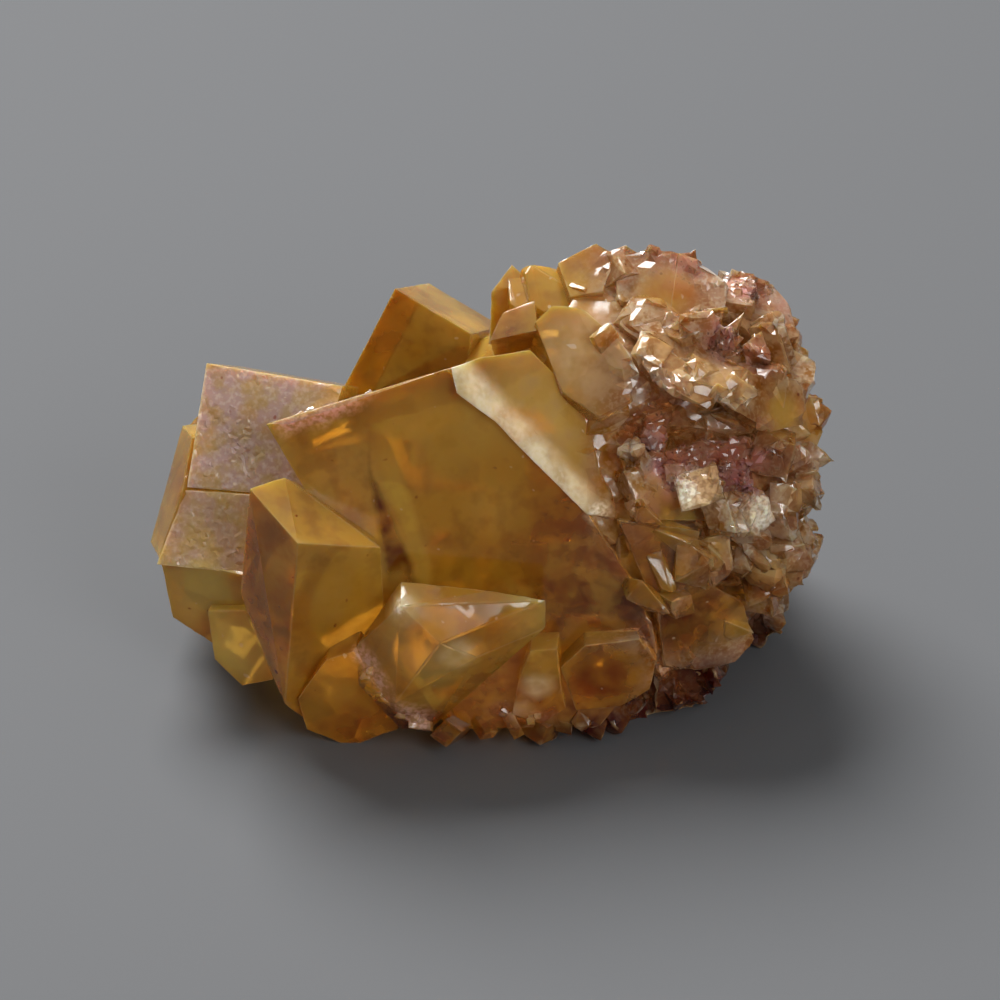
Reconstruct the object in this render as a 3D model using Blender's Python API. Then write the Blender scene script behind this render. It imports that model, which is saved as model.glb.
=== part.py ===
"""Honey-yellow fluorite specimen: blocky crystals grown together into one lump, broken off flat below.

Run with: blender --background --python part.py
Frame: +Z up, -Y is the display side, origin on the surface it rests on, under the middle of its box.
All sizes below are in millimetres and are scaled to metres once, where a mesh is made.
"""

import math
import random

import bmesh
import bpy
import numpy as np
from mathutils import Euler, Matrix, Vector
from mathutils.bvhtree import BVHTree

mm = 0.001  # metres in a millimetre

# ---- driving dimensions (mm) ----
rest_level = 0.0  # the flat break that the lump rests on
root_level = -1.5  # how far down the heart runs before it is cut off
druse_seed = 11
druse_tries = 190  # ways out from the heart that are tried for a small crystal on the broken right side
chip_size = (2.0, 4.4)
chip_sink = 0.22  # how far a small crystal is sunk in what it grows on, as a share of its size
druse_heart = (10.5, 1.0, 12.0)  # the point that the small crystals grow away from
crust_chips = 26  # rough little crystals along the broken foot
crust_size = (1.2, 2.6)

# The heart of the lump, which every crystal is rooted in. Each entry is the corners of one convex mass.
core_masses = {
    "left_heart": [
        (-15, 0, 4), (-15, 3, 14), (-13, 9, 12), (-12, 8, 2), (-9, -5, root_level), (-9, -5, 12), (0, -6, root_level),
        (0, -5, 18), (0, 9, 17), (0, 10, root_level), (-8, 4, 16.5), (-3, 8, 17),
    ],
    "middle_heart": [
        (-3, -6, root_level), (-3, -4, 20), (-1, 8, 19), (-2, 10, root_level), (6, 6, 24), (7, -1, 22), (11, 4, 23),
        (12, 9, 16), (12, 9, root_level), (10, -6, root_level), (10, -6, 12), (6, -6, 15),
    ],
    "right_dome": [
        (3, 0, 23), (6, 6, 25), (12, 6, 24.5), (17, 5.5, 22), (18.5, 5, 18), (18, 8, 12),
        (16.5, 0, 17.5), (11, -0.3, 17.5), (7, -2, 20), (8, 9, 14), (13, 1.5, 23.5),
    ],
    "right_foot": [
        (8, -6, 14), (14, -3.5, 14.5), (18.5, 1, 13.5), (18, -1.5, 9.5), (15, -4, 5), (12, -4.5, root_level),
        (7, -7, root_level), (8.5, -7.5, 8), (16, 8, 12), (14, 8, root_level), (16, 2, 3),
    ],
}

# The crystals that give the lump its outline. A slab is the outline of its main face, flattened onto its own
# plane, and the way the crystal runs back into the lump. Its far side is drawn in by the share named taper.
slabs = {
    # the big smooth face and its neighbours on the left
    "front_face": dict(
        face=[(-13.5, -6, 22), (-2.5, -3, 25), (5.4, -6.5, 17.1), (9.5, -8, 10.5), (10.5, -8, 6.5),
              (7, -8.5, 1.5), (-2.5, -9, 1.5)],
        back=(2, 11, -5), taper=0.9),
    "pale_wedge": dict(
        face=[(-2.2, -4.5, 25.5), (-1.9, -5.4, 24.2), (0.5, -5.4, 22.1), (2.6, -5.8, 19.7), (6.1, -6.4, 15.9),
              (7.8, -5.6, 15.1), (7.6, -4.8, 16.2), (6.7, -4, 17.8), (6.5, -2, 20.2), (4.9, -1.6, 22.2),
              (2.6, -1.2, 24.6), (-0.5, -3.1, 25.3)],
        back=(2, 4, -4), taper=0.85),
    "frosted_block": dict(
        face=[(-17.5, 3.2, 20.7), (-9, 2.4, 19.5), (-11, -1.6, 13.8), (-18.7, -1.2, 14.3)],
        back=(1.5, 6, -4), taper=0.95),
    "frosted_foot": dict(
        face=[(-18.8, -1.3, 14.2), (-11, -1.6, 13.8), (-13.5, -4.4, 9.8), (-20.6, -4.0, 10.4)],
        back=(0.5, 8, -3), taper=0.9),
    "left_shoulder": dict(
        face=[(-19.4, 4.2, 15.4), (-18.3, 1.5, 16.2), (-18.9, -1.6, 14), (-20.8, -3.4, 10.6), (-20.9, -0.5, 9.5)],
        back=(6, 3, -1), taper=0.9),
    "left_under": dict(
        face=[(-20.6, -3.9, 10.4), (-14, -4.4, 10), (-14, -4.2, 3), (-16.6, -3.2, 3), (-19.6, -1.8, 5.4)],
        back=(2, 7, 1), taper=0.9),
    "window_cube": dict(
        face=[(-17.6, -4.2, 6.9), (-15, -4.6, 7.4), (-13.2, -6.3, 3.2), (-15.4, -5.6, 2.2), (-17.1, -4.6, 3.6)],
        back=(2.5, 5, 1), taper=1.0),
    "back_crystal": dict(
        face=[(-9.6, 6.6, 15.4), (-5.8, 7, 23.7), (-1, 6.1, 21), (-2, 5, 14)],
        back=(2, 5.5, -3), taper=0.97),
    "lower_lobe": dict(
        face=[(-10, -9.9, 7.4), (-8.2, -9.9, 8.2), (-6, -9.4, 4), (-5.5, -8.8, 1.2), (-8.6, -8.3, -0.3),
              (-11.3, -8.9, 1.2), (-11.8, -9.5, 4)],
        back=(1, 5, 1), taper=0.9),
    # the crystals on top
    "round_plate": dict(
        face=[(2.9, 0.4, 25.6), (4, 1.2, 26.3), (5.8, 0.9, 26.3), (8, -0.5, 25), (9.4, -1.9, 23.3), (8.8, -3, 22),
              (6.9, -3.6, 21.2), (4.6, -2.4, 22.2)],
        back=(-0.5, 2, -3), taper=0.95),
    "top_window": dict(
        face=[(0.1, 1, 23.8), (0.9, 2.5, 24.9), (2.9, 2.5, 25.8), (3.1, 0.5, 24.9)],
        back=(0.5, 3, -4), taper=1.0),
    "yellow_tip": dict(
        face=[(4.4, 7, 25.5), (6.7, 7.5, 27.1), (8, 7, 26.1), (7.2, 4.5, 25.1), (5.1, 4.5, 24.8)],
        back=(-0.5, 3, -5), taper=0.95),
    "top_amber": dict(
        face=[(7.8, 6.5, 26.4), (10.2, 7, 26.8), (12.4, 6.4, 26.4), (11.6, 3.2, 24), (10.4, 2.6, 23.6),
              (8.1, 4, 24.8)],
        back=(-0.5, 3.5, -4), taper=0.95),
    "top_amber_right": dict(
        face=[(11.8, 6.6, 26.5), (13.4, 6.2, 26.2), (15, 4.9, 25.4), (14.4, 2.6, 23.4), (12.6, 2, 23.2),
              (11.2, 3, 24)],
        back=(-1, 4, -4), taper=0.95),
    "pink_block": dict(
        face=[(15, 8, 24.3), (17.6, 8, 23.5), (19, 7, 22.9), (19.3, 5, 21.2), (16.9, 3, 22.1), (15.1, 4, 24.1)],
        back=(-2.5, 2, -5), taper=0.95),
    "high_knob": dict(
        face=[(19.3, 5, 21), (20.1, 5.5, 20.1), (19.9, 4.5, 19.1), (19, 3.5, 19.3)],
        back=(-3, 1.5, -1), taper=1.0),
    # the ledge, the hollow under it and the slope below
    "lit_ledge": dict(
        face=[(9.4, 0.8, 24.5), (12.4, 0.8, 24.3), (16, -0.8, 22.7), (16.2, -1.8, 22.2), (13, -3.6, 22.2),
              (10.6, -2.8, 22.9), (9.4, -1.4, 23.8)],
        back=(-0.3, 3.5, -2.5), taper=0.85),
    "ledge_end": dict(
        face=[(16, -1, 22.8), (19.4, 1.5, 20.5), (19.7, 0, 18.2), (17.4, -2, 19), (14.4, -3.5, 22.3)],
        back=(-2, 3.5, -1.5), taper=0.85),
    "right_knob": dict(
        face=[(18.9, 3, 19.1), (21, 3, 18), (20.9, 2, 16.4), (20.3, 1, 15.5), (18.8, 0.5, 16.7)],
        back=(-3.5, 2, -0.5), taper=0.95),
    "frosted_slope": dict(
        face=[(8.2, -5, 18.2), (13.1, -2.5, 18.8), (19.4, 0, 17), (20.6, 0, 15.4), (20, -2, 13.1),
              (14.3, -5.5, 14.8), (9.4, -6.5, 15.6)],
        back=(-2, 4, -4), taper=0.9),
    "pale_shard": dict(
        face=[(11.6, -5.5, 18), (13.1, -5, 18.4), (14.4, -5.5, 17.8), (14, -6.3, 16.9), (12.7, -6.5, 16.8)],
        back=(0, 2.5, -2.5), taper=0.9),
    "leaning_shard": dict(
        face=[(15.4, -5.2, 16.1), (16.8, -4.5, 16.4), (17.8, -5, 14.5), (16.3, -6, 14.1)],
        back=(-1, 3, -1), taper=0.9),
    # the ridges and the brown crystals low on the right
    "ridge_left": dict(
        face=[(12.8, -6.5, 14), (14.8, -6, 14.3), (15.1, -6.5, 11.8), (13.9, -7, 10.8)],
        back=(-0.5, 3, -1.5), taper=1.0),
    "ridge_right": dict(
        face=[(15, -5.5, 13), (17.9, -4, 12.3), (20.1, -3, 9.9), (19.2, -3.5, 8.5), (18, -4.5, 8.5), (15.6, -6, 11)],
        back=(-3, 4, -0.5), taper=0.9),
    "middle_face": dict(
        face=[(8, -7, 15.9), (13.1, -6.5, 14.8), (12.5, -7.5, 11.4), (10.4, -8, 9.8)],
        back=(0, 3, -2), taper=1.0),
    "brown_crystal": dict(
        face=[(10.4, -7.5, 10.1), (13.2, -6.5, 11), (15.9, -5, 8.3), (16.6, -4.5, 5), (15.5, -5, 3.6),
              (13.3, -6, 3.7), (11, -7, 4.9)],
        back=(-2, 5, 0), taper=0.85),
    "low_brown": dict(
        face=[(10.5, -6.5, 4.5), (14.3, -4.5, 2.8), (14.4, -4.5, 1), (12.8, -5.2, 0.2), (10.5, -6.5, 0.7)],
        back=(-1, 4, 0.5), taper=0.9),
    "pale_foot": dict(
        face=[(2.6, -10, 8.2), (4.3, -9.9, 8.3), (4.6, -9.6, 4.9), (4.9, -9.2, 3.2), (3.3, -9.2, 1.9),
              (1.5, -9.3, 2.8), (1.9, -9.8, 5.6)],
        back=(0.3, 4, -0.5), taper=1.0),
    "round_foot": dict(
        face=[(4.5, -9.8, 6.7), (6, -9.6, 8.3), (9.4, -9, 8.3), (10.5, -8.6, 6.3), (10.1, -8.4, 4), (8.3, -8.8, 2.9),
              (5.5, -9.3, 3)],
        back=(0, 4, -0.5), taper=0.95),
}

# What the small crystals grow on. The others stay bare.
overgrown = (
    "right_dome", "right_foot", "pink_block", "right_knob", "ridge_right",
    "back_cube_right", "back_cube_high", "back_cube_edge", "right_low_cube",
)

# Sharp little crystals along the rims of the broken right side: middle and size.
rim_shards = [
    ((9.6, -6.2, 15.8), 2.2), ((11.2, -6.4, 14.4), 1.8), ((14.7, -5.4, 15.2), 2.4), ((16.2, -5, 13.6), 2.2),
    ((18.3, -3.4, 14.2), 2.4), ((19.6, -1.4, 14.8), 2.6), ((20, 0.4, 15.6), 2.0), ((12.6, -6.9, 12.6), 2.6),
    ((9.6, -7.8, 10.8), 2.4), ((11.4, -7.4, 10.2), 2.0), ((17.2, -4.8, 10.8), 2.2), ((19, -3, 11.6), 2.4),
    ((9.2, -4.2, 18.4), 1.8), ((17.8, -1.6, 17.6), 1.8), ((15.2, -3.4, 17), 1.6), ((12.2, -4.4, 17.2), 1.5),
    ((10, 1.4, 24), 1.6), ((12.6, 1.6, 23.8), 2.0), ((14.6, 1.2, 23.4), 2.2), ((16.6, 1.6, 22.4), 2.4),
    ((17.6, 3.2, 22), 2.4), ((19, 2.6, 20.2), 2.2), ((15, -4.6, 6.4), 2.0), ((16.2, -4, 8.6), 2.2),
]

# Crystals given by all their corners, where no face is the main one.
free_forms = {
    "corner_prism": [
        (-14.5, -8, 19), (-12.4, -6.2, 18.6), (-6.5, -8.6, 15), (-11.5, -11, 17), (-12.6, -9.4, 3.6),
        (-15.3, -6.5, 10), (-14.1, -6.8, 5.8), (-11, -8, 1.0), (-6.2, -6.6, 2.5), (-8, -2, 13),
        (-13, -2, 9), (-9, -3, 1),
    ],
    "front_chip": [
        (-8.1, -9.6, 8.2), (-5.9, -9.4, 12.1), (-5.3, -9.2, 12.9), (0.2, -9.5, 12.4), (3.6, -9.8, 11.9),
        (3.6, -9.8, 9.8), (-0.3, -9.6, 6.7), (-3.4, -9.6, 2.0), (-5.4, -9.6, 1.8), (-8, -9.8, 5.4),
        (-5.3, -11, 12.3), (-2.9, -12, 10.2), (-0.7, -11.3, 8.6), (-5.7, -11, 4.9), (-3, -6.5, 8),
    ],
    "rear_tip": [(0.2, 6.5, 23.8), (1.5, 8, 24.9), (2.7, 7, 24.2), (2.5, 9.5, 21.5), (0, 6, 18), (3, 9, 18)],
}

# Cubes that stand on the back and the sides: middle, edges, turn in degrees about X, Y and Z.
cubes = {
    "back_cube_left": ((-9, 7.5, 6.5), (10, 9, 11), (12, -18, 28)),
    "back_cube_low": ((-3.5, 11, 4.5), (7, 7, 8), (-8, 16, 12)),
    "back_cube_middle": ((2, 10, 10.5), (9, 9, 10), (-20, 14, 40)),
    "back_cube_right": ((11, 8.5, 7), (10, 9, 9), (24, 10, -22)),
    "back_cube_high": ((9.5, 7, 19), (7, 7, 7), (30, -20, 15)),
    "back_cube_small": ((-2.5, 10.5, 14), (5, 5, 5), (35, 8, 30)),
    "back_cube_edge": ((15.5, 7, 14.5), (6, 6, 6), (10, 35, 20)),
    "left_back_cube": ((-14, 5, 7), (8, 9, 9), (-10, 22, -15)),
    "left_back_small": ((-16.5, 6.5, 11.5), (4.5, 4.5, 4.5), (20, 30, 10)),
    "right_low_cube": ((14.5, 3, 5), (6.5, 7, 6), (18, -12, 33)),
}


def flattened(points):
    """The points moved onto the plane that fits them best."""
    cloud = np.array(points, float)
    middle = cloud.mean(axis=0)
    normal = np.linalg.svd(cloud - middle)[2][2]
    return [Vector(p - normal * float((p - middle) @ normal)) for p in cloud]


def crystal_object(name, shape):
    """An object of this shape, its faces pointing out."""
    bmesh.ops.recalc_face_normals(shape, faces=shape.faces)
    mesh = bpy.data.meshes.new(name)
    shape.to_mesh(mesh)
    shape.free()
    return bpy.data.objects.new(name, mesh)


def slab_object(name, face, back, taper):
    """A closed slab between its main face and the drawn-in copy of it on the far side."""
    front = flattened(face)
    middle = sum(front, Vector()) / len(front)
    far = [middle + (p - middle) * taper + Vector(back) for p in front]
    shape = bmesh.new()
    near_ring = [shape.verts.new(p * mm) for p in front]
    far_ring = [shape.verts.new(p * mm) for p in far]
    shape.faces.new(near_ring)
    shape.faces.new(far_ring)
    for i in range(len(front)):
        shape.faces.new((near_ring[i - 1], near_ring[i], far_ring[i], far_ring[i - 1]))
    return crystal_object(name, shape)


def box_corners(at, size, turn):
    """The corners of a cube-like crystal: its middle, its three edges and its turn in degrees."""
    spin = Euler([math.radians(a) for a in turn]).to_matrix()
    half = Vector(size) / 2
    signs = [(x, y, z) for x in (-1, 1) for y in (-1, 1) for z in (-1, 1)]
    return [Vector(at) + spin @ Vector((s[0] * half.x, s[1] * half.y, s[2] * half.z)) for s in signs]


def shard_corners(at, size, rng):
    """The corners of a small crystal: a leaning block, or the eight-sided form that fluorite splits into."""
    spin = Euler([rng.uniform(-math.pi, math.pi) for _ in range(3)]).to_matrix()
    edges = Vector((rng.uniform(0.6, 1.0), rng.uniform(0.5, 0.9), rng.uniform(0.9, 1.4))) * size / 2
    lean = Matrix(((1, rng.uniform(-0.4, 0.4), 0), (0, 1, rng.uniform(-0.4, 0.4)), (0, 0, 1)))
    if rng.random() < 0.6:
        own = [(x, y, z) for x in (-1, 1) for y in (-1, 1) for z in (-1, 1)]
    else:
        own = [(1.5, 0, 0), (-1.5, 0, 0), (0, 1.5, 0), (0, -1.5, 0), (0, 0, 1.4), (0, 0, -1.4)]
    return [Vector(at) + spin @ lean @ Vector((c[0] * edges.x, c[1] * edges.y, c[2] * edges.z)) for c in own]


def convex_object(name, corners):
    """A closed convex crystal through these corners, in millimetres."""
    shape = bmesh.new()
    for corner in corners:
        shape.verts.new(Vector(corner) * mm)
    bmesh.ops.convex_hull(shape, input=shape.verts)
    bmesh.ops.dissolve_limit(shape, angle_limit=math.radians(1.0), verts=shape.verts, edges=shape.edges)
    return crystal_object(name, shape)


def surface_trees(masses):
    """The skin of each mass, for rays to be sent at: name to tree."""
    return {o.name: BVHTree.FromPolygons([v.co.copy() for v in o.data.vertices],
                                         [list(p.vertices) for p in o.data.polygons]) for o in masses}


def outermost(trees, heart, way):
    """Where the lump's skin lies furthest along this way from the heart, and the mass it is on, or None."""
    reach = 60 * mm
    hits = [(tree.ray_cast(heart + way * reach, -way)[0], name) for name, tree in trees.items()]
    hits = [h for h in hits if h[0] is not None]
    return max(hits, key=lambda h: (h[0] - heart).dot(way)) if hits else None


def druse(trees):
    """The small crystals that crowd the broken right side."""
    rng = random.Random(druse_seed)
    heart = Vector(druse_heart) * mm
    grown = []
    for i in range(druse_tries):
        lift = rng.uniform(-0.6, 1.0)
        heading = math.radians(rng.uniform(-105, 80))
        flat = math.sqrt(1 - lift * lift)
        way = Vector((math.cos(heading) * flat, math.sin(heading) * flat, lift))
        size = rng.uniform(*chip_size)
        hit = outermost(trees, heart, way)
        if hit is None or hit[1] not in overgrown or hit[0].x < 7 * mm:
            continue
        middle = hit[0] / mm - way * size * chip_sink
        grown.append(convex_object("chip_%03d" % i, shard_corners(middle, size, rng)))
    print(len(grown), "small crystals in the druse")
    return grown


def rims():
    """The hand-placed shards along the rims."""
    rng = random.Random(druse_seed + 2)
    return [convex_object("rim_%02d" % i, shard_corners(middle, size, rng))
            for i, (middle, size) in enumerate(rim_shards)]


def crust(trees):
    """The rough little crystals round the broken foot, from its front edge to its right and behind."""
    rng = random.Random(druse_seed + 1)
    heart = Vector((2.0, 1.0, 1.2)) * mm
    grown = []
    for i in range(crust_chips):
        heading = math.radians(-112 + 250 * i / crust_chips)
        hit = outermost(trees, heart, Vector((math.cos(heading), math.sin(heading), rng.uniform(-0.02, 0.08))))
        size = rng.uniform(*crust_size)
        grown.append(convex_object("crust_%02d" % i, shard_corners(hit[0] / mm, size, rng)))
    return grown


def grown_together(pieces):
    """All the crystals as one mesh, by a Boolean union."""
    others = bpy.data.collections.new("crystals")
    bpy.context.scene.collection.children.link(others)
    for piece in pieces[1:]:
        others.objects.link(piece)
    body = pieces[0]
    bpy.context.scene.collection.objects.link(body)
    union = body.modifiers.new("grown together", "BOOLEAN")
    union.operation = "UNION"
    union.operand_type = "COLLECTION"
    union.collection = others
    union.solver = "EXACT"
    bpy.context.view_layer.update()
    mesh = bpy.data.meshes.new_from_object(body.evaluated_get(bpy.context.evaluated_depsgraph_get()))
    for piece in pieces:
        bpy.data.objects.remove(piece)
    bpy.data.collections.remove(others)
    return mesh


def keep_outer_shell(mesh):
    """Takes out closed pockets inside the lump and anything that doesn't touch it."""
    shape = bmesh.new()
    shape.from_mesh(mesh)
    unseen = set(shape.faces)
    shells = []
    while unseen:
        shell = set()
        front = [unseen.pop()]
        while front:
            face = front.pop()
            shell.add(face)
            near = {other for edge in face.edges for other in edge.link_faces} & unseen
            unseen -= near
            front.extend(near)
        shells.append(shell)
    outer = max(shells, key=lambda s: sum(f.calc_center_median().dot(f.normal) * f.calc_area() for f in s))
    bmesh.ops.delete(shape, geom=[f for s in shells if s is not outer for f in s], context="FACES")
    shape.to_mesh(mesh)
    shape.free()


def cut_flat(lump):
    """Cuts the lump off where it was broken from its rock, so that it rests on the cut."""
    ground = convex_object("ground", box_corners((0, 0, rest_level - 10), (80, 80, 20), (0, 0, 0)))
    ground.hide_render = True
    ground.display_type = "WIRE"
    bpy.context.scene.collection.objects.link(ground)
    cut = lump.modifiers.new("broken off", "BOOLEAN")
    cut.operation = "DIFFERENCE"
    cut.object = ground
    cut.solver = "EXACT"


def centre(lump):
    """Moves the mesh so that the middle of the box stands over the origin."""
    bpy.context.view_layer.update()
    corners = [Vector(c) for c in lump.evaluated_get(bpy.context.evaluated_depsgraph_get()).bound_box]
    low, high = corners[0], corners[6]
    lump.data.transform(Matrix.Translation((-(low.x + high.x) / 2, -(low.y + high.y) / 2, 0)))
    print("moved by", [round(c / mm, 3) for c in (-(low.x + high.x) / 2, -(low.y + high.y) / 2)], "mm")


def honey_fluorite():
    """Honey-yellow, see-through, with smooth faces."""
    material = bpy.data.materials.new("honey fluorite")
    material.use_nodes = True
    shader = material.node_tree.nodes["Principled BSDF"]
    shader.inputs["Base Color"].default_value = (0.30, 0.13, 0.02, 1)
    shader.inputs["Roughness"].default_value = 0.2
    shader.inputs["Metallic"].default_value = 0.0
    shader.inputs["IOR"].default_value = 1.434
    shader.inputs["Transmission Weight"].default_value = 0.7
    return material


def main():
    for old in list(bpy.data.objects):
        bpy.data.objects.remove(old)
    big = [convex_object(n, c) for n, c in core_masses.items()]
    big += [slab_object(n, **s) for n, s in slabs.items()]
    big += [convex_object(n, c) for n, c in free_forms.items()]
    big += [convex_object(n, box_corners(*c)) for n, c in cubes.items()]
    trees = surface_trees(big)
    mesh = grown_together(big + druse(trees) + rims() + crust(trees))
    keep_outer_shell(mesh)
    mesh.name = "fluorite_cluster"
    mesh.materials.clear()
    mesh.materials.append(honey_fluorite())
    lump = bpy.data.objects.new("fluorite_cluster", mesh)
    bpy.context.scene.collection.objects.link(lump)
    cut_flat(lump)
    centre(lump)


main()
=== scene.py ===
import itertools
import math
import random

import bmesh
import bpy
import numpy as np
from mathutils import Euler, Matrix, Vector, noise
from mathutils.geometry import delaunay_2d_cdt


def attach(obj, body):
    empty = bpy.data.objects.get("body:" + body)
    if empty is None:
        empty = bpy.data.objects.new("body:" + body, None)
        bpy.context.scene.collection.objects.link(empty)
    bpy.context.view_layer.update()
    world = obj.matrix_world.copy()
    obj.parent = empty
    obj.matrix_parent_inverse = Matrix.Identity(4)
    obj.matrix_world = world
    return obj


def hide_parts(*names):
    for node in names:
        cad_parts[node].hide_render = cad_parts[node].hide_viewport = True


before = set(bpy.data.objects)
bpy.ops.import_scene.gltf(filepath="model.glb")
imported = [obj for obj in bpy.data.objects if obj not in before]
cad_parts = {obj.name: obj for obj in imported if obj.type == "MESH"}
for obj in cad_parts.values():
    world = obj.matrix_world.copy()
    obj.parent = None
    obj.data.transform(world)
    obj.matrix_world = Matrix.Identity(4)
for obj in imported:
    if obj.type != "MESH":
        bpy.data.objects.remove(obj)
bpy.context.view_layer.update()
print("frame loaded")

mm = 0.001  # metres in a millimetre


def toLinear(hexColour):
    # sRGB hex to the linear values that Blender mixes
    channels = [int(hexColour[i:i + 2], 16) / 255 for i in (1, 3, 5)]
    return [c / 12.92 if c <= 0.04045 else ((c + 0.055) / 1.055) ** 2.4 for c in channels] + [1.0]


def smoothRise(value, low, high):
    # 0 below low, 1 above high, an even curve between them
    share = np.clip((np.asarray(value, float) - low) / (high - low), 0, 1)
    return share * share * (3 - 2 * share)


def noiseVector(place):
    # noise.noise_vector gives other values each run, so this takes three plain noises far apart
    return Vector([noise.noise(place + Vector(apart)) for apart in ((0, 0, 0), (31.4, 0, 0), (0, 47.1, 0))])


def addToScene(name, data):
    thing = bpy.data.objects.new(name, data)
    bpy.context.scene.collection.objects.link(thing)
    return thing


camera = dict(target=(0.5, -2.9, 12.5), distance=399.3, elevation=35.0, lens=230.0)  # mm, degrees


def makeCamera():
    lens = bpy.data.cameras.new("camera")
    lens.lens = camera["lens"]
    lens.clip_start = 0.01
    lens.clip_end = 10.0
    eye = addToScene("camera", lens)
    tilt = math.radians(camera["elevation"])
    back = Vector((0, -math.cos(tilt), math.sin(tilt)))
    eye.location = (Vector(camera["target"]) + back * camera["distance"]) * mm
    eye.rotation_euler = (-back).to_track_quat("-Z", "Y").to_euler()
    bpy.context.scene.camera = eye
    print("camera placed")


# which way the larger faces look
wedgeWay = (0.53, -0.62, 0.58)
blockWay = (0.0, -0.82, 0.57)
frontWay = (0.02, -0.98, 0.20)
plateWay = (-0.06, -0.76, 0.65)
prismWay = (-0.72, -0.70, -0.02)

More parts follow.
